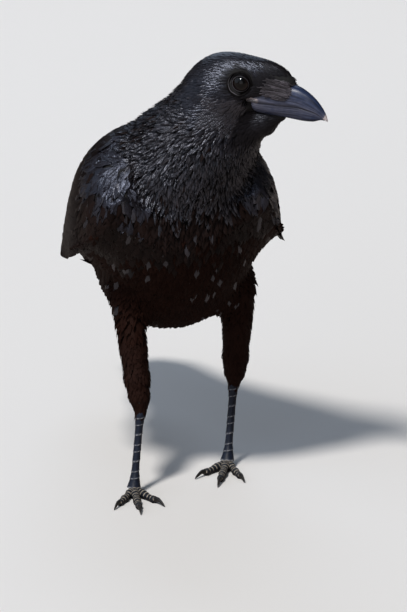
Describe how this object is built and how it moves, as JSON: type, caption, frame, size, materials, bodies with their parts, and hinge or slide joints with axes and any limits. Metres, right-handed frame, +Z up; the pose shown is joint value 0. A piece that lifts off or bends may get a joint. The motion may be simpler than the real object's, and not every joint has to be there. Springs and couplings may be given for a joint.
{
  "type": "crow",
  "caption": "Carrion crow standing at life size as a still museum model, head turned to its left, with folded wings and closed tail.",
  "frame": {"origin": "middle of the base of the bounding box, on the floor under the soles", "axes": "+Z up, the body faces -Y, the bird's own left is +X"},
  "size_m": [0.1792, 0.373, 0.3606],
  "materials": {
    "plumage": "glossy black body feathers with a blue sheen, warm black in shade",
    "flight_feathers": "smooth satin black wing and tail feathers with a blue sheen",
    "bill_horn": "glossy slate black horn, greyer along the mouth",
    "eye": "wet dark brown",
    "leg_scutes": "slate black scutes with pale edges",
    "claw_horn": "glossy black horn"
  },
  "bodies": {
    "root": {"head": "plumage", "neck": "plumage", "trunk": "plumage", "thigh_right": "plumage", "thigh_left": "plumage", "wing_right": "plumage", "wing_left": "plumage", "tail": "flight_feathers", "flight_feathers_right": "flight_feathers", "flight_feathers_left": "flight_feathers", "bill_upper": "bill_horn", "bill_lower": "bill_horn", "eye_right": "eye", "eye_left": "eye", "tarsus_right": "leg_scutes", "toe_middle_right": "leg_scutes", "claw_middle_right": "claw_horn", "toe_inner_right": "leg_scutes", "claw_inner_right": "claw_horn", "toe_outer_right": "leg_scutes", "claw_outer_right": "claw_horn", "toe_hallux_right": "leg_scutes", "claw_hallux_right": "claw_horn", "tarsus_left": "leg_scutes", "toe_middle_left": "leg_scutes", "claw_middle_left": "claw_horn", "toe_inner_left": "leg_scutes", "claw_inner_left": "claw_horn", "toe_outer_left": "leg_scutes", "claw_outer_left": "claw_horn", "toe_hallux_left": "leg_scutes", "claw_hallux_left": "claw_horn"}
  },
  "joints": []
}
